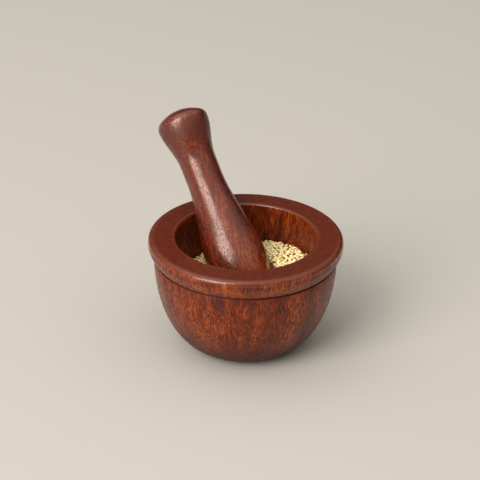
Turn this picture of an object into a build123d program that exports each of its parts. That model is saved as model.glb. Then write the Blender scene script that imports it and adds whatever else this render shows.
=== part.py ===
from build123d import *

import os
from math import atan, cos, degrees, hypot, pi, radians, sin, sqrt, tan

# A turned wooden mortar with its pestle and a load of sesame seeds.
# Millimetres, +Z up, origin at the centre of the mortar's foot, front towards -Y.

# ---------------------------------------------------------------- mortar
rim_diameter = 120.0
mortar_height = 72.5
mouth_diameter = 86.4
floor_thickness = 13.5
foot_diameter = 52.0
foot_step = 0.6

rim_outer_round = 2.8
rim_inner_bevel = 1.2

collar_height = 12.4
collar_lip_diameter = 114.4
collar_bulge = 0.9
collar_lip_bevel = 1.4

groove_width = 1.1
groove_depth = 0.9
body_top_diameter = 112.9

# ---------------------------------------------------------------- pestle
pestle_length = 140.7
nose_radius = 17.5
bulb_diameter = 38.0
bulb_height = 20.7
neck_diameter = 23.2
neck_height = 76.8
neck_length = 11.8
head_diameter = 32.5
head_depth = 8.6
head_corner_radius = 5.4

# ---------------------------------------------------------------- how the pestle stands
lean_azimuth = 127.0
nose_offset = 5.0
rim_clearance = 0.3

# ---------------------------------------------------------------- sesame
seed_layer = 2.1
seed_clearance = 0.3
lift_clearance = 0.6
heap_depth = 25.0
heap_tilt = 6.8

grain_length = 3.3
grain_width = 2.1
grain_thickness = 1.1
grain_taper = 38.0
grain_corners = 5
grain_blunt = 0.3
grain_seat = 0.12
grain_count = 120
grain_turns = 2.3
grain_gap = 0.5

# ---------------------------------------------------------------- straight cuts per turned curve
hollow_cuts = 4
rounding_cuts = 2
collar_cuts = 2
body_cuts = 10
nose_cuts = 4
bulb_cuts = 2
shaft_cuts = 4
flare_cuts = 3
crown_cuts = 2

# ---------------------------------------------------------------- how finely the lean is solved
least_lean = 5.0
most_lean = 60.0
lean_halvings = 50
search_step = 0.25
search_steps = 60

# ---------------------------------------------------------------- worked out
rim_radius = rim_diameter / 2
mouth_radius = mouth_diameter / 2
bulb_radius = bulb_diameter / 2
neck_radius = neck_diameter / 2
head_radius = head_diameter / 2
hollow_centre_z = floor_thickness + mouth_radius
collar_lip_z = mortar_height - collar_height
body_top_z = collar_lip_z - groove_width
heap_level = mortar_height - heap_depth
head_top = pestle_length - nose_radius
head_height = head_top - head_depth
golden_angle = pi * (3 - sqrt(5))


def arc_points(centre, across, up, start, end, cuts):
    """Points on an elliptic arc whose normal turns by equal steps, in degrees."""
    points = []
    for cut in range(cuts + 1):
        turn = radians(start + (end - start) * cut / cuts)
        reach = hypot(across * cos(turn), up * sin(turn))
        points.append((centre[0] + across ** 2 * cos(turn) / reach,
                       centre[1] + up ** 2 * sin(turn) / reach))
    return points


def round_points(centre, radius, start, end, cuts=1):
    """Points on a circular arc."""
    return arc_points(centre, radius, radius, start, end, cuts)


def bulged_points(start, end, bulge, cuts):
    """Points between a start and an end, on a shallow curve that stands out by a bulge."""
    points = []
    for cut in range(1, cuts):
        share = cut / cuts
        out = 4 * bulge * share * (1 - share)
        points.append((start[0] + (end[0] - start[0]) * share + out,
                       start[1] + (end[1] - start[1]) * share))
    return points


def flowing_points(low, high, cuts):
    """Points after low, up to high, on an S curve that is upright at both ends."""
    points = []
    for cut in range(1, cuts + 1):
        share = cut / cuts
        points.append((low[0] + (high[0] - low[0]) * share * share * (3 - 2 * share),
                       low[1] + (high[1] - low[1]) * share))
    return points


def turned(outline):
    """A closed outline of (radius, height) points, turned about Z."""
    return revolve(Plane.XZ * make_face(Polyline(*outline, close=True)), Axis.Z)


def hollow_outline(inset=0.0):
    """The round hollow's outline from its lowest point to its full width."""
    return round_points((0, hollow_centre_z), mouth_radius - inset, -90, 0, hollow_cuts)


def mortar_outline():
    """The mortar's half section: hollow, rim, collar with its lip, groove, body and foot."""
    foot_radius = foot_diameter / 2
    body_radius = body_top_diameter / 2
    lip_radius = collar_lip_diameter / 2
    inner_edge = round_points(
        (mouth_radius + rim_inner_bevel, mortar_height - rim_inner_bevel),
        rim_inner_bevel, 180, 90)
    outer_edge = round_points(
        (rim_radius - rim_outer_round, mortar_height - rim_outer_round),
        rim_outer_round, 90, 0, rounding_cuts)
    lip = round_points(
        (lip_radius - collar_lip_bevel, collar_lip_z + collar_lip_bevel),
        collar_lip_bevel, 0, -90)
    collar_face = bulged_points(outer_edge[-1], lip[0], collar_bulge, collar_cuts)
    groove = [(body_radius - groove_depth, collar_lip_z)]
    body = arc_points((foot_radius, body_top_z), body_radius - foot_radius,
                      body_top_z - foot_step, 0, -90, body_cuts)
    foot = [(foot_radius - foot_step, 0), (0, 0)]
    return hollow_outline() + inner_edge + outer_edge + collar_face + lip + groove + body + foot


def pestle_shaft(extra=0.0):
    """(radius, height above the nose centre) from the nose to the head, grown by extra."""
    nose = (nose_radius + extra, 0.0)
    bulb = (bulb_radius + extra, bulb_height)
    neck = (neck_radius + extra, neck_height)
    neck_end = (neck_radius + extra, neck_height + neck_length)
    head = (head_radius + extra, head_height)
    swell = [nose] + flowing_points(nose, bulb, bulb_cuts)
    taper = flowing_points(bulb, neck, shaft_cuts)
    flare = [neck_end] + flowing_points(neck_end, head, flare_cuts)
    return swell + taper + flare


def shaft_radius(height):
    """The pestle's radius at a height above its nose centre."""
    shaft = pestle_shaft()
    for low, high in zip(shaft, shaft[1:]):
        if low[1] <= height <= high[1]:
            return low[0] + (high[0] - low[0]) * (height - low[1]) / (high[1] - low[1])
    return 0.0


def pestle_outline(extra=0.0):
    """The pestle's half section: nose, bulb, neck, flared head and shallow domed end."""
    corner = head_corner_radius + extra
    arm = head_radius + extra - corner
    rise = head_depth + extra
    crown = (arm ** 2 + rise ** 2 - corner ** 2) / (2 * (rise - corner))
    crown_centre_z = head_height + rise - crown
    crown_edge = 90 - degrees(atan(arm / (head_height - crown_centre_z)))
    nose = round_points((0, 0), nose_radius + extra, -90, 0, nose_cuts)
    edge = round_points((arm, head_height), corner, 0, crown_edge, rounding_cuts)
    top = round_points((0, crown_centre_z), crown, crown_edge, 90, crown_cuts)
    return nose + pestle_shaft(extra)[1:] + edge[1:] + top[1:]


def nose_centre_height():
    """Height of the nose centre, with the nose on its seed layer in the round hollow."""
    reach = mouth_radius - nose_radius - seed_layer - 2 * seed_clearance
    return hollow_centre_z - sqrt(reach ** 2 - nose_offset ** 2)


def gap_at_rim(lean):
    """Gap between the pestle, leaning by an angle in radians, and the rim's inner edge."""
    across = mouth_radius + rim_inner_bevel + nose_offset
    above = mortar_height - rim_inner_bevel - nose_centre_height()
    along = across * sin(lean) + above * cos(lean)
    aside = across * cos(lean) - above * sin(lean)
    if aside < shaft_radius(along):
        return -rim_inner_bevel
    steps = range(-search_steps, search_steps + 1)
    stations = [along + search_step * step for step in steps]
    nearest = min(hypot(along - station, aside - shaft_radius(station)) for station in stations)
    return nearest - rim_inner_bevel


def lean_angle():
    """The lean, in radians, at which the shaft just clears the rim's inner edge."""
    low, high = radians(least_lean), radians(most_lean)
    for _ in range(lean_halvings):
        middle = (low + high) / 2
        if gap_at_rim(middle) > rim_clearance:
            low = middle
        else:
            high = middle
    return low


lean = lean_angle()
lift_lean = lean / 2
lean_direction = Vector(cos(radians(lean_azimuth)), sin(radians(lean_azimuth)), 0)
side_direction = Vector(-lean_direction.Y, lean_direction.X, 0)
pestle_axis = lean_direction * sin(lean) + Vector(0, 0, cos(lean))
lift_direction = lean_direction * sin(lift_lean) + Vector(0, 0, cos(lift_lean))
nose_centre = lean_direction * -nose_offset + Vector(0, 0, nose_centre_height())
pestle_plane = Plane(origin=nose_centre, x_dir=side_direction, z_dir=pestle_axis)
lift_plane = Plane(origin=nose_centre, x_dir=side_direction, z_dir=lift_direction)
axial_plane = Plane(origin=nose_centre, x_dir=side_direction,
                    z_dir=side_direction.cross(pestle_axis))


def mortar_bowl():
    """The mortar, turned about its own axis."""
    return turned(mortar_outline())


def turned_pestle(extra=0.0):
    """The pestle, or its shape grown by extra all over, leaning where it stands."""
    return pestle_plane * turned(pestle_outline(extra))


def hollow_cutters():
    """What the pestle needs in the heap: its own shape, and its path when it is drawn out."""
    bore = turned_pestle(seed_clearance)
    side = pestle_outline(lift_clearance)
    other_side = [(-radius, height) for radius, height in reversed(side[1:-1])]
    outline = make_face(Polyline(*side, *other_side, close=True))
    path = extrude(axial_plane * outline, amount=mortar_height, dir=lift_direction)
    nose_path = lift_plane * Cylinder(nose_radius + lift_clearance, mortar_height,
                                      align=(Align.CENTER, Align.CENTER, Align.MIN))
    return [bore.solid(), path.solid(), nose_path.solid()]


def heap_surface(x):
    """Height of the heap's sloping top at a distance x towards +X."""
    return heap_level + x * tan(radians(heap_tilt))


def sesame_heap(cutters):
    """The heap: it fills the round hollow up to a sloping top, and the pestle stands in it."""
    wall = (mouth_radius - seed_clearance, mortar_height)
    blank = turned(hollow_outline(seed_clearance) + [wall, (0, mortar_height)])
    slope = Plane(origin=(0, 0, heap_level), x_dir=(0, 1, 0),
                  z_dir=(-sin(radians(heap_tilt)), 0, cos(radians(heap_tilt))))
    heap = split(blank, bisect_by=slope, keep=Keep.BOTTOM)
    for cutter in cutters:
        heap = heap - cutter
    return heap


def grain_blank():
    """One seed lying flat: a pointed drop, tapered above and below its widest line."""
    corners = []
    for number in range(grain_corners):
        turn = 2 * pi * number / grain_corners
        half_width = grain_width / 2 * sin(turn) * (1 - grain_blunt * cos(turn))
        corners.append((grain_length / 2 * cos(turn), half_width))
    outline = make_face(Polyline(*corners, close=True))
    upper = extrude(outline, amount=grain_thickness / 2, taper=grain_taper)
    return upper + mirror(upper, Plane.XY)


def wall_radius(height):
    """Inner radius of the mortar at a height."""
    drop = max(hollow_centre_z - height, 0)
    return sqrt(mouth_radius ** 2 - drop ** 2)


def is_near(solid, point, reach):
    """Whether a point lies inside a solid or within reach of its surface."""
    return solid.is_inside(point) or solid.distance_to(Vertex(*point)) < reach


def sesame_grains(cutters):
    """Seeds on the heap: a golden-angle spread that leaves out the wall and the pestle."""
    blank = grain_blank()
    reach = hypot(grain_length, grain_thickness) / 2 + grain_gap
    tilt = radians(heap_tilt)
    grains = []
    for number in range(grain_count):
        radius = mouth_radius * sqrt((number + 0.5) / grain_count)
        turn = golden_angle * number
        x = radius * cos(turn) * cos(tilt)
        y = radius * sin(turn)
        z = heap_surface(x)
        if radius + reach > wall_radius(z):
            continue
        place = Plane(origin=(x, y, z), x_dir=(cos(tilt), 0, sin(tilt)),
                      z_dir=(-sin(tilt), 0, cos(tilt)))
        if any(is_near(cutter, place.origin, reach) for cutter in cutters):
            continue
        lying = Pos(0, 0, grain_thickness / 2 + grain_seat) * Rot(0, 0, degrees(turn * grain_turns))
        grains.append(place * lying * blank)
    return Compound(children=[grain.solid() for grain in grains])


def main():
    cutters = hollow_cutters()
    nodes = {
        "mortar_bowl": mortar_bowl(),
        "pestle": turned_pestle(),
        "sesame_heap": sesame_heap(cutters),
        "sesame_grains": sesame_grains(cutters),
    }
    os.makedirs("parts", exist_ok=True)
    for name, shape in nodes.items():
        export_step(shape, f"parts/{name}.step")
    print("lean", round(degrees(lean), 2), "nose centre", tuple(nose_centre))
    print("lift direction", tuple(lift_direction))


main()
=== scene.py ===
"""Looks of a turned wooden mortar, its leaning pestle and its load of sesame seeds."""

import logging
import math
import random
from dataclasses import dataclass
from enum import Enum

import bpy
import numpy as np
from mathutils import Matrix, Vector, noise
from mathutils.bvhtree import BVHTree


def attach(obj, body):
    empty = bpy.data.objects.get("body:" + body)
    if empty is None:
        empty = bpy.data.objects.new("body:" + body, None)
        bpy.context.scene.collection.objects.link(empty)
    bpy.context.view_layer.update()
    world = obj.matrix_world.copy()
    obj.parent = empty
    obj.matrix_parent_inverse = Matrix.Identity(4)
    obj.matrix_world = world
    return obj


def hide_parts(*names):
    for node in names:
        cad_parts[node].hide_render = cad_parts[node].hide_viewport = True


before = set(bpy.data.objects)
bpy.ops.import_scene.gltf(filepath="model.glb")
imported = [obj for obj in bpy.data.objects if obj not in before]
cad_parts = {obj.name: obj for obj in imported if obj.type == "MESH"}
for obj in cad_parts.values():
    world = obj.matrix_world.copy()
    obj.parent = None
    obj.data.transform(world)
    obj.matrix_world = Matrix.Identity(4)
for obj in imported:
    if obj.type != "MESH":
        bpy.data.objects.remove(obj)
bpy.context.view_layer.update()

LOG = logging.getLogger("mortar")
MM = 0.001
CM_PER_MM = 0.1
# Mesh attribute: rubbed edge wear above 0, painted shade below 0.
WEAR_AND_SHADE = "edge_wear_and_shade"
PLACE = "grain_place"
END = "end_grain"
TINT = "seed_tint"
TINY = 1e-9
WARM_WHITE = (1.0, 0.98, 0.95)
SEED_SHIFT = (1.0, 1.7, 0.6)
MIX_INPUTS = (0, 6, 7)
MIX_RESULT = 2

Socket = bpy.types.NodeSocket
Piece = bpy.types.Object
Point2 = tuple[float, float]
Triple = tuple[float, float, float]
Colour = Triple
ColourPair = tuple[Colour, Colour]


class Body(Enum):
    """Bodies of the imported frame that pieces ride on."""

    MORTAR = "mortar"
    SESAME = "sesame"
    PESTLE = "pestle"


class Slot(Enum):
    """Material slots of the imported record."""

    BOWL_WOOD = "bowl_wood"
    PESTLE_WOOD = "pestle_wood"
    SESAME = "sesame"


# ---- node helper
class NodeTree:
    """A small builder for the nodes of one material or world."""

    def __init__(self, owner: bpy.types.Material | bpy.types.World) -> None:
        """Switches the owner's nodes on.

        Args:
            owner: The material or world.
        """
        owner.use_nodes = True
        self.nodes = owner.node_tree.nodes
        self.links = owner.node_tree.links

    def add(self, kind: str, **inputs: object) -> bpy.types.Node:
        """Adds a node by Blender's type name, and fills its inputs."""
        return self.fill(self.nodes.new(kind), **inputs)

    def fill(self, node: bpy.types.Node, **inputs: object) -> bpy.types.Node:
        """Fills or links a node's inputs.

        Args:
            node: The node.
            **inputs: Input names, spaces written as underscores, with values or sockets.

        Returns:
            The same node.
        """
        for name, value in inputs.items():
            self.feed(node.inputs[name.replace("_", " ")], value)
        return node

    def feed(self, socket: Socket, value: object) -> None:
        """Links a socket into an input, or sets the input's own value.

        Args:
            socket: The input.
            value: An output socket, a number or a tuple.
        """
        if isinstance(value, Socket):
            self.links.new(value, socket)
        else:
            socket.default_value = value

    def math(self, operation: str, *values: object, kind: str = "ShaderNodeMath") -> Socket:
        """Works out one number, or one vector, from others.

        Args:
            operation: Blender's name of the operation.
            *values: Numbers, vectors or sockets.
            kind: Blender's type name of the node.

        Returns:
            The result's socket.
        """
        node = self.nodes.new(kind)
        node.operation = operation
        for socket, value in zip(node.inputs, values):
            self.feed(socket, value)
        return node.outputs[0]

    def stretched(self, vector: Socket, scale: Triple, shift: Triple) -> Socket:
        """Scales coordinates along each axis, and then shifts them."""
        return self.math("MULTIPLY_ADD", vector, scale, shift, kind="ShaderNodeVectorMath")

    def noise(self, vector: Socket, scale: float = 1.0, detail: float = 2.0,
              roughness: float = 0.5, distortion: float = 0.0) -> Socket:
        """Adds a noise pattern, about 0 to 1, of so many waves per unit of the coordinates."""
        node = self.add("ShaderNodeTexNoise", Vector=vector, Scale=scale, Detail=detail,
                        Roughness=roughness, Distortion=distortion)
        return node.outputs["Fac"]

    def ramp(self, value: Socket, band: Point2, results: Point2 = (0.0, 1.0)) -> Socket:
        """Maps a range of a value smoothly onto another range.

        Args:
            value: The value.
            band: Where the range starts and ends.
            results: What the start and the end are mapped to.

        Returns:
            The mapped value.
        """
        node = self.nodes.new("ShaderNodeMapRange")
        node.interpolation_type = "SMOOTHSTEP"
        for name, entry in (("Value", value), ("From Min", band[0]), ("From Max", band[1]),
                            ("To Min", results[0]), ("To Max", results[1])):
            self.feed(node.inputs[name], entry)
        return node.outputs["Result"]

    def mix(self, share: object, first: object, second: object, blend: str = "MIX") -> Socket:
        """Mixes two colours.

        Args:
            share: How much of the second there is.
            first: The first colour.
            second: The second colour.
            blend: Blender's name of the way they mix.

        Returns:
            The mixed colour.
        """
        node = self.nodes.new("ShaderNodeMix")
        node.data_type = "RGBA"
        node.blend_type = blend
        for index, value in zip(MIX_INPUTS, (share, first, second)):
            if isinstance(value, tuple):
                value = (*value, 1.0)
            self.feed(node.inputs[index], value)
        return node.outputs[MIX_RESULT]


class MaterialTree(NodeTree):
    """The nodes of one material, around its shader."""

    def __init__(self, name: str) -> None:
        """Starts a material with its shader and output.

        Args:
            name: Name of the material.
        """
        self.material = bpy.data.materials.new(name)
        super().__init__(self.material)
        self.shader = self.nodes["Principled BSDF"]

    def attribute(self, name: str, output: str) -> Socket:
        """Reads one of the mesh's attributes.

        Args:
            name: The attribute.
            output: Which of the node's outputs is wanted.

        Returns:
            The output's socket.
        """
        node = self.add("ShaderNodeAttribute")
        node.attribute_name = name
        return node.outputs[output]

    def tinted(self, colour: object, value: Socket, band: Point2, tints: ColourPair) -> Socket:
        """Multiplies a colour by tints that follow a pattern's value over a band."""
        return self.mix(1.0, colour, self.mix(self.ramp(value, band), *tints), "MULTIPLY")

    def relief(self, height: Socket, strength: float, depth: float) -> bpy.types.Node:
        """Feeds a pattern to the shader as fine relief.

        Args:
            height: The pattern.
            strength: Share of the full effect.
            depth: Height of the relief in metres.

        Returns:
            The bump node.
        """
        bump = self.add("ShaderNodeBump", Height=height, Strength=strength, Distance=depth)
        self.feed(self.shader.inputs["Normal"], bump.outputs[0])
        return bump


# ---- finishes
@dataclass(frozen=True)
class Ribbon:
    """A lighter or darker area on a turned piece: angles in degrees, heights in centimetres."""

    angle: float
    spread: float
    strength: float
    height: float = 0.0
    reach: float = 50.0


@dataclass(frozen=True)
class GrainPattern:
    """How the wood's patterns are laid out and joined.

    Scales are waves per centimetre across, across and along the grain. Bands are the ranges of a
    pattern's value over which one look gives way to the next.
    """

    sway_scale: Triple = (0.6, 0.6, 0.45)
    sway: float = 0.8
    streak_scale: Triple = (11.0, 11.0, 0.9)
    broad_scale: Triple = (1.4, 1.4, 0.14)
    cloud_scale: Triple = (2.2, 2.2, 2.2)
    ring_rate: float = 1.6
    ring_drift: float = 0.12
    streak_weight: float = 0.80
    ring_weight: float = 0.80
    broad_weight: float = 0.85
    dark_band: Point2 = (0.26, 0.50)
    light_band: Point2 = (0.54, 0.90)
    light_share: float = 0.70
    lit_dashes: Point2 = (0.50, 0.60)
    lit_tones: Point2 = (0.38, 0.58)
    lit_shares: Point2 = (0.10, 1.0)
    between_band: Point2 = (0.38, 0.50)
    between: ColourPair = ((0.58, 0.52, 0.50), (1.06, 1.06, 1.06))
    speckle_band: Point2 = (0.38, 0.62)
    speckle: ColourPair = ((0.84, 0.80, 0.78), (1.10, 1.06, 1.04))
    cloud_band: Point2 = (0.32, 0.68)
    clouded: ColourPair = ((0.80, 0.76, 0.74), (1.14, 1.12, 1.10))
    end_band: Point2 = (0.38, 0.84)
    end_pores: float = 0.2
    patch_scale: Triple = (1.8, 1.8, 0.8)
    patch_band: Point2 = (0.3, 0.7)
    pore_levels: Point2 = (0.62, 0.53)
    pore_edge: float = 0.05
    gloss_band: Point2 = (0.3, 0.7)
    gloss_spread: Point2 = (-0.05, 0.06)
    pore_roughness: float = 0.25
    dash_relief: float = 0.5
    streak_relief: float = 0.3
    relief_strength: float = 0.5


@dataclass(frozen=True)
class WearAndShadeLook:
    """What the lathe's value does: above 0 an edge is rubbed; below 0 a place is rougher and painted
    darker as shade.
    """

    painted_shade_band: Point2 = (-0.7, 0.0)
    painted_shade_dash_shares: Point2 = (0.3, 1.0)
    rubbed_light: float = 0.10
    # Painted shade: how far the colour goes towards the pore colour where the value is below 0.
    painted_shade_darkening: float = 0.85
    rubbed_gloss: float = 0.11
    dull_roughness: float = 0.30
    rubbed_coat: float = 0.65


@dataclass(frozen=True)
class WoodFinish:
    """Lacquered hardwood whose grain runs along its piece's turning axis.

    Colours are linear; lengths are in centimetres of the piece.
    """

    name: str
    dark: Colour = (0.085, 0.011, 0.005)
    ground: Colour = (0.170, 0.019, 0.003)
    light: Colour = (0.390, 0.086, 0.012)
    pore: Colour = (0.025, 0.003, 0.002)
    end: Colour = (0.112, 0.014, 0.002)
    heart: Point2 = (1.5, 7.5)
    heart_slope: float = 0.18
    ring_density: float = 1.7
    ribbons: tuple[Ribbon, ...] = ()
    lightness: float = 0.0
    dash_share: float = 0.42
    dash_scale: Triple = (14.0, 14.0, 1.5)
    pore_scale: Triple = (15.0, 15.0, 3.2)
    pore_share: float = 0.62
    roughness: float = 0.31
    specular: float = 0.42
    ior: float = 1.5
    sheen: Colour = (1.0, 0.72, 0.62)
    coat: float = 0.08
    coat_roughness: float = 0.16
    relief: float = 0.00022
    seed: float = 0.0
    pattern: GrainPattern = GrainPattern()
    wear_and_shade_look: WearAndShadeLook = WearAndShadeLook()

    def material(self) -> bpy.types.Material:
        """Builds the procedural wood.

        Returns:
            The material.
        """
        tree = WoodTree(self)
        across = tree.ramp(tree.attribute(END, "Fac"), self.pattern.end_band)
        fewer = tree.math("MULTIPLY_ADD", across, self.pattern.end_pores - 1.0, 1.0)
        dots = tree.math("MULTIPLY", tree.pores(), fewer)
        colour = tree.mix(across, tree.long_grain(), tree.end_grain())
        # Pores, then rubbed edges lightened, then painted shade: darker towards the pore colour where
        # the value is below 0.
        for share, over in (
                (tree.math("MULTIPLY", dots, self.pore_share), self.pore),
                (tree.ramp(tree.wear_and_shade, (0.0, 1.0), (0.0, self.wear_and_shade_look.rubbed_light)), self.light),
                (tree.ramp(tree.wear_and_shade, (0.0, -1.0), (0.0, self.wear_and_shade_look.painted_shade_darkening)), self.pore)):
            colour = tree.mix(share, colour, over)
        tree.fill(tree.shader, Base_Color=colour)
        tree.finish_surface(dots)
        return tree.material


class WoodTree(MaterialTree):
    """The nodes of one wood, with the coordinates and patterns that its parts share."""

    def __init__(self, wood: WoodFinish) -> None:
        """Lays out the straight and the bent grain.

        Args:
            wood: The finish.
        """
        super().__init__(wood.name)
        self.wood = wood
        self.pattern = wood.pattern
        self.shift = tuple(wood.seed * factor for factor in SEED_SHIFT)
        self.place = self.attribute(PLACE, "Vector")
        self.wear_and_shade = self.attribute(WEAR_AND_SHADE, "Fac")
        self.grain = self.waved()
        self.streaks = self.grained(self.pattern.streak_scale, detail=3.0, roughness=0.6)
        self.dashes = self.grained(wood.dash_scale, detail=1.5, distortion=0.1)

    def waved(self) -> Socket:
        """Bends straight grain into slow waves.

        Returns:
            The bent coordinates.
        """
        sway = self.pattern.sway
        waves = self.add("ShaderNodeTexNoise", Scale=1.0, Detail=2.0,
                         Vector=self.stretched(self.place, self.pattern.sway_scale, self.shift))
        centred = self.stretched(waves.outputs["Color"], (sway, sway, 0.0),
                                 (-sway / 2, -sway / 2, 0.0))
        return self.math("ADD", self.place, centred, kind="ShaderNodeVectorMath")

    def grained(self, scale: Triple, **settings: float) -> Socket:
        """Adds noise that follows the bent grain."""
        return self.noise(self.stretched(self.grain, scale, self.shift), **settings)

    def long_grain(self) -> Socket:
        """Colours the wood where it is cut along the grain.

        Returns:
            The colour.
        """
        wood, pattern, tone = self.wood, self.pattern, self.tone()
        low = self.mix(self.ramp(tone, pattern.dark_band), wood.dark, wood.ground)
        colour = self.mix(self.ramp(tone, pattern.light_band, (0.0, pattern.light_share)),
                          low, wood.light)
        lit = self.math("MULTIPLY", self.ramp(self.dashes, pattern.lit_dashes),
                        self.ramp(tone, pattern.lit_tones, pattern.lit_shares))
        # Fewer light dashes under painted shade, where the value is below 0.
        lit = self.math("MULTIPLY", lit,
                        self.ramp(self.wear_and_shade, wood.wear_and_shade_look.painted_shade_band, wood.wear_and_shade_look.painted_shade_dash_shares))
        colour = self.mix(self.math("MULTIPLY", lit, wood.dash_share), colour, wood.light)
        return self.tinted(colour, self.dashes, pattern.between_band, pattern.between)

    def end_grain(self) -> Socket:
        """Colours the wood where it is cut across the grain: darker, speckled and cloudy.

        Returns:
            The colour.
        """
        pattern = self.pattern
        cloud = self.noise(self.stretched(self.place, pattern.cloud_scale, self.shift),
                           detail=3.0, roughness=0.6)
        speckled = self.tinted(self.wood.end, self.dashes, pattern.speckle_band, pattern.speckle)
        return self.tinted(speckled, cloud, pattern.cloud_band, pattern.clouded)

    def rings(self) -> Socket:
        """Lays growth rings round the tree's heart, uneven in width, cut slightly aslant.

        Returns:
            The rings' value.
        """
        wood = self.wood
        split = self.add("ShaderNodeSeparateXYZ", Vector=self.grain)
        x = self.math("SUBTRACT", split.outputs[0], wood.heart[0])
        y = self.math("SUBTRACT", split.outputs[1], wood.heart[1])
        y = self.math("MULTIPLY_ADD", split.outputs[2], wood.heart_slope, y)
        squared = self.math("ADD", self.math("MULTIPLY", x, x), self.math("MULTIPLY", y, y))
        distance = self.math("SQRT", squared)
        along = self.add("ShaderNodeCombineXYZ", Y=wood.seed,
                         X=self.math("MULTIPLY", distance, wood.ring_density),
                         Z=self.math("MULTIPLY", split.outputs[2], self.pattern.ring_drift))
        return self.noise(along.outputs[0], self.pattern.ring_rate, detail=3.0, roughness=0.65)

    def tone(self) -> Socket:
        """Joins streaks, rings, broad bands and ribbons into one tone from dark to light.

        Returns:
            The tone, about 0 to 1.
        """
        pattern = self.pattern
        total: object = self.wood.lightness
        for value, weight in ((self.streaks, pattern.streak_weight),
                              (self.rings(), pattern.ring_weight),
                              (self.grained(pattern.broad_scale), pattern.broad_weight)):
            centred = self.math("SUBTRACT", value, 0.5)
            total = self.math("MULTIPLY_ADD", centred, weight, total)
        split = self.add("ShaderNodeSeparateXYZ", Vector=self.place)
        angle = self.math("ARCTAN2", split.outputs[1], split.outputs[0])
        for ribbon in self.wood.ribbons:
            shares = []
            turned, spread = math.radians(ribbon.angle), math.radians(ribbon.spread)
            for value, middle, reach in ((angle, turned, spread),
                                         (split.outputs[2], ribbon.height, ribbon.reach)):
                away = self.math("ABSOLUTE", self.math("SUBTRACT", value, middle))
                shares.append(self.ramp(away, (0.0, reach), (1.0, 0.0)))
            total = self.math("MULTIPLY_ADD", self.math("MULTIPLY", *shares), ribbon.strength, total)
        return self.math("ADD", total, 0.5)

    def pores(self) -> Socket:
        """Adds short dark pores along the grain, closer together in some patches.

        Returns:
            How much each place is a pore, 0 to 1.
        """
        pattern = self.pattern
        fine = self.grained(self.wood.pore_scale, detail=1.0, roughness=0.4)
        patch = self.grained(pattern.patch_scale, detail=1.0)
        level = self.ramp(patch, pattern.patch_band, pattern.pore_levels)
        return self.ramp(self.math("SUBTRACT", fine, level), (0.0, pattern.pore_edge))

    def finish_surface(self, dots: Socket) -> None:
        """Sets gloss, which is higher on rubbed edges, and fine relief.

        Args:
            dots: The pores.
        """
        wood, pattern, wear_and_shade_look = self.wood, self.pattern, self.wood.wear_and_shade_look
        levels = tuple(wood.roughness + change for change in pattern.gloss_spread)
        gloss = self.ramp(self.streaks, pattern.gloss_band, levels)
        for value, change in ((self.ramp(self.wear_and_shade, (0.0, 1.0)), -wear_and_shade_look.rubbed_gloss),
                              (self.ramp(self.wear_and_shade, (0.0, -1.0)), wear_and_shade_look.dull_roughness),
                              (dots, pattern.pore_roughness)):
            gloss = self.math("MULTIPLY_ADD", value, change, gloss)
        coat = self.ramp(self.wear_and_shade, (0.0, 1.0), (wood.coat, wear_and_shade_look.rubbed_coat))
        self.fill(self.shader, Roughness=gloss, Specular_IOR_Level=wood.specular, IOR=wood.ior,
                  Specular_Tint=(*wood.sheen, 1.0), Coat_Weight=coat,
                  Coat_Roughness=wood.coat_roughness)
        fibres = self.math("MULTIPLY_ADD", self.dashes, pattern.dash_relief,
                           self.math("MULTIPLY", self.streaks, pattern.streak_relief))
        self.relief(self.math("SUBTRACT", fibres, dots), pattern.relief_strength, wood.relief)


@dataclass(frozen=True)
class SeedFinish:
    """Hulled and unhulled sesame: a thin smooth coat, cream to straw, darker at the tip."""

    name: str
    pale: Colour = (1.0, 0.87, 0.46)
    straw: Colour = (1.0, 0.76, 0.34)
    tip: Colour = (0.50, 0.30, 0.12)
    tip_share: float = 0.8
    mottle_rate: float = 1800.0
    mottle_band: Point2 = (0.45, 0.75)
    mottle_share: float = 0.35
    gloss_band: Point2 = (0.3, 0.7)
    roughness: Point2 = (0.36, 0.52)
    glow: float = 0.12
    glow_reach: Triple = (0.0006, 0.0004, 0.0002)
    relief_strength: float = 0.25
    relief: float = 0.00006

    def material(self) -> bpy.types.Material:
        """Builds the seed coat.

        Returns:
            The material.
        """
        tree = MaterialTree(self.name)
        tint = tree.attribute(TINT, "Color")
        shade, tip = tree.add("ShaderNodeSeparateColor", Color=tint).outputs[:2]
        coordinates = tree.nodes.new("ShaderNodeTexCoord").outputs["Object"]
        mottle = tree.noise(coordinates, self.mottle_rate, detail=3.0, roughness=0.6)
        colour = tree.mix(tree.ramp(shade, (0.0, 1.0)), self.pale, self.straw)
        colour = tree.mix(tree.ramp(mottle, self.mottle_band, (0.0, self.mottle_share)),
                          colour, self.straw)
        colour = tree.mix(tree.math("MULTIPLY", tip, self.tip_share), colour, self.tip)
        tree.fill(tree.shader, Base_Color=colour,
                  Roughness=tree.ramp(mottle, self.gloss_band, self.roughness),
                  Subsurface_Weight=self.glow, Subsurface_Radius=self.glow_reach)
        tree.relief(mottle, self.relief_strength, self.relief)
        return tree.material


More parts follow.
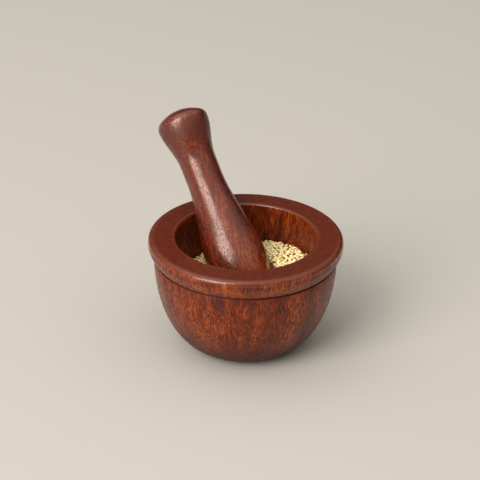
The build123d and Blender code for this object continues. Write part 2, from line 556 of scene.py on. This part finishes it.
@dataclass(frozen=True)
class HeapShadeFinish:
    """Painted shade of the heap's depth between the seeds."""

    name: str
    # Painted shade: darkest in the gaps between lumps.
    gap_shade: Colour = (0.10, 0.055, 0.018)
    shallow: Colour = (0.44, 0.28, 0.12)
    # Painted light that lifts the hollow's shaded walls.
    painted_wall_light: Colour = (0.80, 0.58, 0.27)
    lump_rate: float = 620.0
    lump_band: Point2 = (0.15, 0.75)
    painted_wall_light_band: Point2 = (0.45, 0.85)
    roughness: float = 0.6
    relief_strength: float = 0.9
    relief: float = 0.0005

    def material(self) -> bpy.types.Material:
        """Builds the heap's depth in painted shade, darkest between lumps, with painted light that
        makes it paler on the steep walls of the hollow.

        Returns:
            The material.
        """
        tree = MaterialTree(self.name)
        coordinates = tree.nodes.new("ShaderNodeTexCoord").outputs["Object"]
        lumps = tree.add("ShaderNodeTexVoronoi", Vector=coordinates, Scale=self.lump_rate)
        distance = lumps.outputs["Distance"]
        colour = tree.mix(tree.ramp(distance, self.lump_band), self.shallow, self.gap_shade)
        normal = tree.nodes.new("ShaderNodeNewGeometry").outputs["Normal"]
        upward = tree.add("ShaderNodeSeparateXYZ", Vector=normal).outputs["Z"]
        # Painted light: paler where the surface is steep.
        colour = tree.mix(tree.ramp(upward, self.painted_wall_light_band, (1.0, 0.0)), colour, self.painted_wall_light)
        tree.fill(tree.shader, Base_Color=colour, Roughness=self.roughness)
        tree.relief(distance, self.relief_strength, self.relief).invert = True
        return tree.material


@dataclass(frozen=True)
class FloorFinish:
    """Pale plain studio floor."""

    name: str
    colour: Colour = (0.525, 0.493, 0.440)
    roughness: float = 0.85
    specular: float = 0.2

    def material(self) -> bpy.types.Material:
        """Builds the floor.

        Returns:
            The material.
        """
        tree = MaterialTree(self.name)
        tree.fill(tree.shader, Base_Color=(*self.colour, 1.0), Roughness=self.roughness,
                  Specular_IOR_Level=self.specular)
        return tree.material


# ---- outlines
def arc(centre: Point2, across: float, up: float, start: float, end: float,
        steps: int) -> list[Point2]:
    """Points on an elliptic arc whose normal turns by equal steps.

    Args:
        centre: Radius and height of the centre.
        across: Semi-axis along the radius.
        up: Semi-axis along the height.
        start: First direction of the normal in degrees.
        end: Last direction of the normal in degrees.
        steps: Number of steps.

    Returns:
        The points.
    """
    points = []
    for step in range(steps + 1):
        turn = math.radians(start + (end - start) * step / steps)
        reach = math.hypot(across * math.cos(turn), up * math.sin(turn))
        points.append((centre[0] + across ** 2 * math.cos(turn) / reach,
                       centre[1] + up ** 2 * math.sin(turn) / reach))
    return points


def between(start: Point2, end: Point2, steps: int, bulge: float = 0.0) -> list[Point2]:
    """Points between a start and an end, without the two, whose middle stands out by the bulge."""
    shares = [step / steps for step in range(1, steps)]
    return [(start[0] + (end[0] - start[0]) * share + 4 * bulge * share * (1 - share),
             start[1] + (end[1] - start[1]) * share) for share in shares]


def flowing(low: Point2, high: Point2, steps: int) -> list[Point2]:
    """Points after low, up to high, on an S curve that is upright at both ends."""
    shares = [step / steps for step in range(1, steps + 1)]
    return [(low[0] + (high[0] - low[0]) * share * share * (3 - 2 * share),
             low[1] + (high[1] - low[1]) * share) for share in shares]


@dataclass
class Outline:
    """A half section for the lathe, with a value at each point: rubbed edge wear above 0, painted
    shade below 0.
    """

    points: list[Point2]
    wear_and_shade: list[float]

    @classmethod
    def joined(cls, *stretches: tuple[list[Point2], float]) -> "Outline":
        """Joins stretches of points.

        Args:
            *stretches: Lists of points, each with its wear-and-shade value.

        Returns:
            The whole outline.
        """
        points: list[Point2] = []
        wear_and_shade: list[float] = []
        for stretch, amount in stretches:
            points += stretch
            wear_and_shade += [amount] * len(stretch)
        return cls(points, wear_and_shade)

    def end_shares(self) -> list[float]:
        """How much the surface at each point is cut across the grain.

        Returns:
            0 along the axis to 1 across it, for each point.
        """
        shares = []
        padded = [self.points[0], *self.points, self.points[-1]]
        for before, after in zip(padded, padded[2:]):
            out, up = after[0] - before[0], after[1] - before[1]
            shares.append(abs(out) / max(math.hypot(out, up), TINY))
        return shares


def placed(name: str, data: bpy.types.ID) -> Piece:
    """Puts a mesh, light or camera into the scene.

    Args:
        name: Name of the object.
        data: What the object shows.

    Returns:
        The object.
    """
    thing = bpy.data.objects.new(name, data)
    bpy.context.collection.objects.link(thing)
    return thing


def ringed_faces(rings: int, count: int) -> list[tuple[int, ...]]:
    """Lists the faces between two poles and the rings of vertices between them.

    Args:
        rings: Number of rings.
        count: Vertices in each ring.

    Returns:
        Vertex numbers of every face.
    """
    last = rings * count + 1
    faces: list[tuple[int, ...]] = []
    for place in range(count):
        following = (place + 1) % count
        faces.append((0, 1 + following, 1 + place))
        faces.append((last, last - count + place, last - count + following))
        for ring in range(rings - 1):
            base = 1 + ring * count
            faces.append((base + place, base + following,
                          base + count + following, base + count + place))
    return faces


@dataclass(frozen=True)
class Lathe:
    """Turns an outline of (radius, height) points into a smooth mesh of so many faces round."""

    segments: int

    def turn(self, name: str, outline: Outline, placement: Matrix) -> Piece:
        """Makes the turned piece; the outline starts and ends on the axis.

        Args:
            name: Name of the object.
            outline: The half section in millimetres.
            placement: Where the turning axis stands, in metres.

        Returns:
            The object, in the scene, with its place in its mesh.
        """
        angles = np.linspace(0, math.tau, self.segments, endpoint=False)
        local = [(0.0, 0.0, outline.points[0][1])]
        for radius, height in outline.points[1:-1]:
            local += [(radius * math.cos(angle), radius * math.sin(angle), height)
                      for angle in angles]
        local.append((0.0, 0.0, outline.points[-1][1]))
        points = np.array(local)
        turned = (points * MM) @ np.array(placement.to_3x3()).T + np.array(placement.translation)
        mesh = bpy.data.meshes.new(name)
        faces = [(first, *rest[::-1]) for first, *rest
                 in ringed_faces(len(outline.points) - 2, self.segments)]
        mesh.from_pydata(turned.tolist(), [], faces)
        mesh.shade_smooth()
        place = mesh.attributes.new(PLACE, "FLOAT_VECTOR", "POINT")
        place.data.foreach_set("vector", (points * CM_PER_MM).ravel())
        self._set_ringed(mesh, WEAR_AND_SHADE, outline.wear_and_shade)
        self._set_ringed(mesh, END, outline.end_shares())
        return placed(name, mesh)

    def _set_ringed(self, mesh: bpy.types.Mesh, name: str, values: list[float]) -> None:
        """Stores one value for each ring of the mesh.

        Args:
            mesh: The turned mesh.
            name: Name of the attribute.
            values: One value for each of the outline's points.
        """
        spread = [values[0], *np.repeat(values[1:-1], self.segments), values[-1]]
        layer = mesh.attributes.new(name, "FLOAT", "POINT")
        layer.data.foreach_set("value", spread)


def dress(piece: Piece, body: Body, node: str,
          material: bpy.types.Material) -> None:
    """Gives a piece its finish and body, and hides the node that it stands for.

    Args:
        piece: The piece.
        body: The body that it rides on.
        node: The CAD node that it replaces.
        material: Its material.
    """
    piece.data.materials.append(material)
    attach(piece, body.value)
    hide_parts(node)
    LOG.info("%s: %d faces on %s, for %s", piece.name, len(piece.data.polygons), body.value, node)


# ---- the mortar
@dataclass(frozen=True)
class Mortar:
    """The turned bowl; sizes in millimetres."""

    finish: WoodFinish
    rim_radius: float = 60.0
    height: float = 72.5
    mouth_radius: float = 43.2
    floor_thickness: float = 13.5
    foot_radius: float = 26.0
    foot_step: float = 0.6
    rim_outer_round: float = 2.8
    rim_inner_round: float = 1.2
    collar_height: float = 12.4
    lip_radius: float = 57.2
    lip_round: float = 1.4
    collar_bulge: float = 0.9
    groove_width: float = 1.1
    groove_depth: float = 0.9
    body_radius: float = 56.45
    groove_corner: float = 0.05
    groove_slope: Point2 = (0.08, 0.15)
    groove_foot: float = 0.1
    shoulder_round: float = 0.3
    shoulder_end: float = 20.0
    inner_wear: float = 1.0
    outer_wear: float = 0.8
    lip_wear: float = 0.4
    # Painted shade in the groove under the lip and on the shoulder beneath it.
    groove_painted_shade: float = -0.6
    shoulder_painted_shade: float = -0.3
    # Painted shade on the lower body: strongest at the foot, gone at this height.
    foot_shade_height: float = 36.0
    foot_painted_shade: float = 0.95
    hollow_steps: int = 36
    wall_steps: int = 5
    inner_steps: int = 8
    rim_steps: int = 7
    outer_steps: int = 10
    collar_steps: int = 8
    lip_steps: int = 6
    shoulder_steps: int = 4
    body_steps: int = 44
    segments: int = 288

    def outline(self) -> Outline:
        """Half section from the hollow's lowest point over the rim to the foot.

        Returns:
            The outline, painted darker towards the foot as shade, and rougher there.
        """
        hollow_z = self.floor_thickness + self.mouth_radius
        lip_z = self.height - self.collar_height
        inner, outer, lip_round = self.rim_inner_round, self.rim_outer_round, self.lip_round
        hollow = arc((0, hollow_z), self.mouth_radius, self.mouth_radius, -90, 0, self.hollow_steps)
        inner_edge = arc((self.mouth_radius + inner, self.height - inner), inner, inner,
                         180, 90, self.inner_steps)
        outer_edge = arc((self.rim_radius - outer, self.height - outer), outer, outer,
                         90, 0, self.outer_steps)
        lip = arc((self.lip_radius - lip_round, lip_z + lip_round), lip_round, lip_round,
                  0, -90, self.lip_steps)
        shoulder_z = lip_z - self.groove_width
        body = self._body(shoulder_z)
        outline = Outline.joined(
            (hollow, 0.0),
            (between(hollow[-1], inner_edge[0], self.wall_steps), 0.0),
            (inner_edge, self.inner_wear),
            (between(inner_edge[-1], outer_edge[0], self.rim_steps), 0.0),
            (outer_edge, self.outer_wear),
            (between(outer_edge[-1], lip[0], self.collar_steps, self.collar_bulge), 0.0),
            (lip, self.lip_wear),
            # Groove and shoulder: painted shade under the lip.
            (self._groove(lip_z), self.groove_painted_shade),
            (self._shoulder(shoulder_z), self.shoulder_painted_shade),
            (body, 0.0),
            ([(self.foot_radius - self.foot_step, 0.0), (0.0, 0.0)], 0.0))
        # Painted shade: the body's value falls below 0 towards the foot.
        for place in range(len(outline.points) - len(body) - 2, len(outline.points)):
            low = max(0.0, 1.0 - outline.points[place][1] / self.foot_shade_height)
            outline.wear_and_shade[place] -= self.foot_painted_shade * low
        return outline

    def _groove(self, lip_z: float) -> list[Point2]:
        """The groove under the collar's lip.

        Args:
            lip_z: Height of the lip's lower side.

        Returns:
            The points.
        """
        root = self.body_radius - self.groove_depth
        corner = self.groove_corner
        out, rise = self.groove_slope
        low = lip_z - self.groove_width + self.groove_foot
        return [(root + corner, lip_z), (root, lip_z - corner),
                (root, low + rise), (root + out, low)]

    def _shoulder(self, top: float) -> list[Point2]:
        """The rounded upper edge of the body, whose height is given."""
        size = self.shoulder_round
        return arc((self.body_radius - size, top - size), size, size,
                   90, self.shoulder_end, self.shoulder_steps)

    def _body(self, top: float) -> list[Point2]:
        """The body's curve down to the foot; it would be upright at the given height."""
        return arc((self.foot_radius, top), self.body_radius - self.foot_radius,
                   top - self.foot_step, 0, -90, self.body_steps)[2:]

    def build(self) -> None:
        """Turns the bowl."""
        piece = Lathe(self.segments).turn("mortar_turned", self.outline(), Matrix())
        dress(piece, Body.MORTAR, "mortar_bowl", self.finish.material())


# ---- the pestle
@dataclass(frozen=True)
class Pestle:
    """The flared pestle, leaning against the rim; sizes in millimetres and degrees."""

    finish: WoodFinish
    length: float = 140.7
    nose_radius: float = 17.5
    bulb_radius: float = 19.0
    bulb_height: float = 20.7
    neck_radius: float = 11.6
    neck_height: float = 76.8
    neck_length: float = 11.8
    head_radius: float = 16.25
    head_depth: float = 8.6
    head_corner: float = 5.4
    lean: float = 39.27
    azimuth: float = 127.0
    nose_centre: Triple = (3.009, -3.993, 34.250)
    # A band round the head that is rougher and painted darker as shade, damping its reflection.
    dull_shade_height: float = 108.0
    dull_shade_reach: float = 13.0
    dull_shade_share: float = 0.6
    # Rubbed wear on the head's edge.
    edge_wear_and_shade: float = 0.7
    crown_wear: float = 0.1
    nose_steps: int = 26
    swell_steps: int = 12
    taper_steps: int = 34
    neck_steps: int = 4
    flare_steps: int = 18
    edge_steps: int = 12
    crown_steps: int = 9
    segments: int = 160

    def outline(self) -> Outline:
        """Half section from the nose to the domed end, heights above the nose centre.

        Returns:
            The outline.
        """
        top = self.length - self.nose_radius
        head_z = top - self.head_depth
        corner = self.head_corner
        arm = self.head_radius - corner
        crown = (arm ** 2 + self.head_depth ** 2 - corner ** 2) / (2 * (self.head_depth - corner))
        crown_z = top - crown
        edge = 90 - math.degrees(math.atan(arm / (head_z - crown_z)))
        nose = arc((0, 0), self.nose_radius, self.nose_radius, -90, 0, self.nose_steps)
        swell = flowing(nose[-1], (self.bulb_radius, self.bulb_height), self.swell_steps)
        taper = flowing(swell[-1], (self.neck_radius, self.neck_height), self.taper_steps)
        neck_end = (self.neck_radius, self.neck_height + self.neck_length)
        neck = between(taper[-1], neck_end, self.neck_steps) + [neck_end]
        flare = flowing(neck_end, (self.head_radius, head_z), self.flare_steps)
        outline = Outline.joined(
            (nose + swell + taper + neck + flare, 0.0),
            (arc((arm, head_z), corner, corner, 0, edge, self.edge_steps)[1:], self.edge_wear_and_shade),
            (arc((0, crown_z), crown, crown, edge, 90, self.crown_steps)[1:], self.crown_wear))
        # The head band: rougher, and darkened with painted shade.
        for place, point in enumerate(outline.points):
            near = max(0.0, 1.0 - abs(point[1] - self.dull_shade_height) / self.dull_shade_reach)
            outline.wear_and_shade[place] -= self.dull_shade_share * near
        return outline

    def placement(self) -> Matrix:
        """Where the pestle stands, its own Z along its axis.

        Returns:
            The placement in metres.
        """
        turn = Matrix.Rotation(math.radians(self.azimuth), 4, "Z")
        lean = Matrix.Rotation(math.radians(self.lean), 4, "Y")
        return Matrix.Translation(Vector(self.nose_centre) * MM) @ turn @ lean

    def build(self) -> None:
        """Turns the pestle and leans it."""
        piece = Lathe(self.segments).turn("pestle_turned", self.outline(), self.placement())
        dress(piece, Body.PESTLE, "pestle", self.finish.material())


# ---- the sesame
@dataclass(frozen=True)
class SesameLoad:
    """The heap and its loose seeds; sizes in millimetres."""

    seeds: SeedFinish
    depth: HeapShadeFinish
    hollow_radius: float = 43.05
    hollow_z: float = 56.7
    lowest: float = 36.0
    ray_start: float = 90.0
    length: float = 3.9
    width: float = 2.0
    thickness: float = 1.3
    sides: int = 7
    stations: tuple[float, ...] = (0.10, 0.30, 0.54, 0.78, 0.93)
    breadths: tuple[float, ...] = (0.52, 0.92, 1.00, 0.66, 0.30)
    fullness: float = 0.7
    tip_start: float = 0.7
    spacing: float = 2.4
    tries: int = 26000
    quick_tries: int = 3000
    level_normal: float = 0.9
    rises: Point2 = (-0.55, 0.30)
    tilts: Point2 = (20.0, 12.0)
    wall_rise: float = -0.75
    nod_share: float = 0.55
    scales: Point2 = (0.86, 1.08)
    straw_rarity: float = 1.6
    wall_clearance: float = 0.05
    hollow_slack: float = 0.02
    tested_every: int = 6
    voxel: float = 1.0
    sink: float = 0.9
    least_sink: float = 0.45
    lump_rate: float = 700.0
    seed: int = 7

    def heap(self) -> bpy.types.Mesh:
        """The CAD heap's mesh."""
        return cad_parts["sesame_heap"].data

    def surface(self) -> BVHTree:
        """The CAD heap's surface, to lay seeds on.

        Returns:
            The search tree.
        """
        mesh = self.heap()
        vertices = [vertex.co.copy() for vertex in mesh.vertices]
        return BVHTree.FromPolygons(vertices, [tuple(face.vertices) for face in mesh.polygons])

    def build_bed(self) -> None:
        """Makes the uneven depth of the heap under the loose seeds, coloured with painted shade."""
        mesh = self.heap().copy()
        mesh.materials.clear()
        bed = placed("sesame_bed", mesh)
        remesh = bed.modifiers.new("even", "REMESH")
        remesh.mode = "VOXEL"
        remesh.voxel_size = self.voxel * MM
        graph = bpy.context.evaluated_depsgraph_get()
        even = bpy.data.meshes.new_from_object(bed.evaluated_get(graph))
        bed.modifiers.clear()
        bed.data = even
        for vertex in even.vertices:
            rough = noise.noise(vertex.co * self.lump_rate) * 0.5 + 0.5
            share = self.least_sink + (1.0 - self.least_sink) * rough
            vertex.co -= vertex.normal * (self.sink * share) * MM
        even.shade_smooth()
        dress(bed, Body.SESAME, "sesame_heap", self.depth.material())

    def _seed_form(self) -> tuple[np.ndarray, list[tuple[int, ...]], np.ndarray]:
        """One seed: a flat drop, blunt at one end and pointed at the other.

        Returns:
            Vertices in millimetres, faces, and how near each vertex is to the tip.
        """
        vertices = [(-self.length / 2, 0.0, 0.0)]
        tips = [0.0]
        for station, breadth in zip(self.stations, self.breadths):
            for place in range(self.sides):
                turn = math.tau * place / self.sides
                vertices.append((self.length * (station - 0.5),
                                 self.width / 2 * breadth * math.cos(turn),
                                 self.thickness / 2 * breadth ** self.fullness * math.sin(turn)))
                tips.append(max(0.0, (station - self.tip_start) / (1.0 - self.tip_start)))
        vertices.append((self.length / 2, 0.0, 0.0))
        tips.append(1.0)
        return np.array(vertices), ringed_faces(len(self.stations), self.sides), np.array(tips)

    def _below(self, tree: BVHTree, x: float, y: float) -> tuple[Vector | None, Vector | None]:
        """The heap's surface straight below a place, and its normal, in metres."""
        return tree.ray_cast(Vector((x, y, self.ray_start * MM)), Vector((0, 0, -1)))[:2]

    def _places(self, chance: random.Random, tree: BVHTree) -> list[tuple[Vector, Vector]]:
        """Scatters places over the heap, none too near to another.

        Args:
            chance: The seeded source of chance.
            tree: The heap's surface.

        Returns:
            Place and surface normal of every seed.
        """
        radius = self.hollow_radius * MM
        cell = self.spacing * MM
        taken: dict[tuple[int, int], list[Vector]] = {}
        places = []
        for _ in range(self.tries):
            reach = radius * math.sqrt(chance.random())
            turn = chance.uniform(0, math.tau)
            hit, normal = self._below(tree, reach * math.cos(turn), reach * math.sin(turn))
            if hit is None or hit.z < self.lowest * MM:
                continue
            key = (int(hit.x // cell), int(hit.y // cell))
            near = [other for i in (-1, 0, 1) for j in (-1, 0, 1)
                    for other in taken.get((key[0] + i, key[1] + j), ())]
            if any((hit - other).length < cell for other in near):
                continue
            taken.setdefault(key, []).append(hit)
            places.append((hit, normal))
        return places

    def build_seeds(self) -> None:
        """Lays the loose seeds in two layers and joins them in one piece."""
        chance = random.Random(self.seed)
        form, faces, tips = self._seed_form()
        tree = self.surface()
        vertices: list[np.ndarray] = []
        all_faces: list[tuple[int, ...]] = []
        tints: list[tuple[float, ...]] = []
        for layer, (rise, tilt) in enumerate(zip(self.rises, self.tilts)):
            for place, normal in self._places(chance, tree):
                flat = normal.z > self.level_normal
                if layer == 1 and not flat:
                    continue
                turn = self._turn(chance, normal, tilt)
                scale = chance.uniform(*self.scales)
                lift = rise if flat else self.wall_rise
                points = (form * scale) @ np.array(turn).T
                points += np.array(place) / MM + np.array(normal) * lift
                if not self._fits(points, flat, tree):
                    continue
                start = len(form) * len(vertices)
                vertices.append(points * MM)
                all_faces += [tuple(index + start for index in face) for face in faces]
                shade = chance.random() ** self.straw_rarity
                tints += [(shade, tip, 0.0, 1.0) for tip in tips]
        mesh = bpy.data.meshes.new("sesame_seeds")
        mesh.from_pydata(np.concatenate(vertices).tolist(), [], all_faces)
        mesh.shade_smooth()
        shades = mesh.color_attributes.new(TINT, "FLOAT_COLOR", "POINT")
        shades.data.foreach_set("color", np.array(tints).ravel())
        piece = placed("sesame_seeds", mesh)
        dress(piece, Body.SESAME, "sesame_grains", self.seeds.material())
        LOG.info("%d seeds", len(vertices))

    def _turn(self, chance: random.Random, normal: Vector, tilt: float) -> Matrix:
        """A chance attitude, roughly flat on a surface.

        Args:
            chance: The seeded source of chance.
            normal: The surface's normal.
            tilt: Spread of the tilt in degrees.

        Returns:
            The rotation.
        """
        flat = normal.to_track_quat("Z", "Y").to_matrix()
        spin = Matrix.Rotation(chance.uniform(0, math.tau), 3, "Z")
        nod = Matrix.Rotation(math.radians(chance.gauss(0, tilt * self.nod_share)), 3, "Y")
        roll = Matrix.Rotation(math.radians(chance.gauss(0, tilt)), 3, "X")
        return flat @ spin @ nod @ roll

    def _fits(self, points: np.ndarray, flat: bool, tree: BVHTree) -> bool:
        """Whether a seed stays off the bowl's wall and out of the pestle's hollow.

        Args:
            points: The seed's vertices in millimetres.
            flat: Whether it lies on the heap's open top.
            tree: The heap's surface.

        Returns:
            True where it fits.
        """
        drop = np.maximum(self.hollow_z - points[:, 2], 0.0)
        room = np.sqrt(self.hollow_radius ** 2 - drop ** 2) - np.hypot(points[:, 0], points[:, 1])
        if room.min() < self.wall_clearance:
            return False
        for x, y, z in points[::self.tested_every]:
            hit, normal = self._below(tree, x * MM, y * MM)
            if hit is None:
                return False
            if flat and normal.z < self.level_normal:
                return False
            if not flat and z > hit.z / MM + self.hollow_slack:
                return False
        return True


# ---- the studio
@dataclass(frozen=True)
class Lamp:
    """A flat soft lamp that faces the object: degrees, metres and radiance."""

    name: str
    azimuth: float
    elevation: float
    width: float
    height: float
    radiance: float
    lean: float = 0.0
    distance: float = 2.5
    colour: Colour = WARM_WHITE

    def build(self, target: Vector) -> None:
        """Hangs the lamp.

        Args:
            target: What it faces.
        """
        light = bpy.data.lights.new(self.name, "AREA")
        light.shape = "RECTANGLE"
        light.size = self.width
        light.size_y = self.height
        light.energy = self.radiance * math.pi * self.width * self.height
        light.color = self.colour
        azimuth, elevation = math.radians(self.azimuth), math.radians(self.elevation)
        direction = Vector((math.cos(azimuth) * math.cos(elevation),
                            math.sin(azimuth) * math.cos(elevation), math.sin(elevation)))
        lamp = placed(self.name, light)
        lamp.location = target + direction * self.distance
        facing = direction.to_track_quat("Z", "Y").to_matrix()
        lamp.rotation_euler = (facing @ Matrix.Rotation(math.radians(self.lean), 3, "Z")).to_euler()


@dataclass(frozen=True)
class SideLight:
    """Light from all round that grows, or fades, along one axis."""

    axis: str
    band: Point2
    gain: float


@dataclass(frozen=True)
class Studio:
    """Floor, soft lamps and the camera."""

    floor: FloorFinish
    lamps: tuple[Lamp, ...] = (
        Lamp("overhead_lamp", azimuth=-156.0, elevation=69.0, width=2.40, height=2.10, radiance=0.75),
        Lamp("window_lamp", azimuth=-130.0, elevation=32.5, width=1.36, height=1.95, radiance=7.2,
             lean=-22.0))
    fill: float = 0.22
    sides: tuple[SideLight, ...] = (
        SideLight("X", (0.3, -0.9), 0.18), SideLight("Y", (-0.3, 0.9), -0.25),
        SideLight("Z", (0.25, 1.0), 0.86))
    aim_height: float = 0.06
    reach: float = 6.0
    distance: float = 0.882214
    camera_height: float = 0.533124
    heading: float = -0.2309
    pitch: float = 27.7344
    roll: float = 0.8513
    lens: float = 121.8
    sensor: float = 36.0

    def build_floor(self) -> None:
        """Lays the floor."""
        mesh = bpy.data.meshes.new("studio_floor")
        corners = [(x * self.reach, y * self.reach, 0.0)
                   for x, y in ((-1, -1), (1, -1), (1, 1), (-1, 1))]
        mesh.from_pydata(corners, [], [(0, 1, 2, 3)])
        floor = placed("studio_floor", mesh)
        floor.data.materials.append(self.floor.material())

    def build_lights(self) -> None:
        """Hangs the lamps and sets the light from all round, which differs from side to side."""
        for lamp in self.lamps:
            lamp.build(Vector((0.0, 0.0, self.aim_height)))
        world = bpy.data.worlds.new("studio")
        tree = NodeTree(world)
        direction = tree.nodes.new("ShaderNodeTexCoord").outputs["Generated"]
        split = tree.add("ShaderNodeSeparateXYZ", Vector=direction)
        strength: object = self.fill
        for side in self.sides:
            share = tree.ramp(split.outputs[side.axis], side.band, (0.0, side.gain))
            strength = tree.math("ADD", share, strength)
        tree.fill(tree.nodes["Background"], Color=(*WARM_WHITE, 1.0), Strength=strength)
        bpy.context.scene.world = world

    def build_camera(self) -> None:
        """Sets up the camera."""
        heading, pitch, roll = map(math.radians, (self.heading, self.pitch, self.roll))
        ahead = Vector((math.sin(heading) * math.cos(pitch), math.cos(heading) * math.cos(pitch),
                        -math.sin(pitch)))
        right = Vector((math.cos(heading), -math.sin(heading), 0.0))
        up = right.cross(ahead)
        turned_right = right * math.cos(roll) + up * math.sin(roll)
        turned_up = up * math.cos(roll) - right * math.sin(roll)
        camera = placed("camera", bpy.data.cameras.new("camera"))
        camera.data.lens = self.lens
        camera.data.sensor_width = self.sensor
        facing = Matrix((turned_right, turned_up, -ahead)).transposed().to_4x4()
        place = Matrix.Translation((0.0, -self.distance, self.camera_height))
        camera.matrix_world = place @ facing
        bpy.context.scene.camera = camera
        bpy.context.scene.view_settings.view_transform = "Standard"


def main() -> None:
    """Builds the studio and dresses every piece."""
    logging.basicConfig(level=logging.INFO, format="%(name)s: %(message)s")
    studio = Studio(FloorFinish("pale_floor"))
    studio.build_camera()
    studio.build_floor()
    studio.build_lights()
    bowl_wood = WoodFinish("lacquered_bowl_wood", ribbons=(
        Ribbon(-117.0, 20.0, 0.12), Ribbon(-84.0, 12.0, -0.05), Ribbon(-57.0, 10.0, 0.20),
        Ribbon(-43.0, 8.0, -0.16), Ribbon(-92.0, 55.0, 0.36, height=6.35, reach=0.60)))
    pestle_wood = WoodFinish(
        "lacquered_pestle_wood", seed=11.0, heart=(0.6, 2.6), ring_density=3.0, lightness=-0.06,
        dark=(0.084, 0.009, 0.002), ground=(0.126, 0.012, 0.002), light=(0.350, 0.062, 0.007),
        pore=(0.040, 0.004, 0.002), pore_share=0.6, pore_scale=(20.0, 20.0, 4.2),
        dash_share=0.35, dash_scale=(16.0, 16.0, 2.2),
        roughness=0.24, specular=0.7, ior=1.56, coat=0.18,
        ribbons=(
            Ribbon(133.0, 40.0, 0.16, height=11.0, reach=2.4),
            # Painted light: a lighter, warmer band on the lower bulb's front-right side, for light
            # thrown back by the seeds and the bowl.
            Ribbon(180.0, 45.0, 0.30, height=1.0, reach=3.4),
            Ribbon(-180.0, 45.0, 0.30, height=1.0, reach=3.4)))
    Mortar(bowl_wood).build()
    Pestle(pestle_wood).build()
    load = SesameLoad(SeedFinish("sesame_coat"), HeapShadeFinish("sesame_depth"))
    load.build_bed()
    load.build_seeds()


if __name__ == "__main__":
    main()
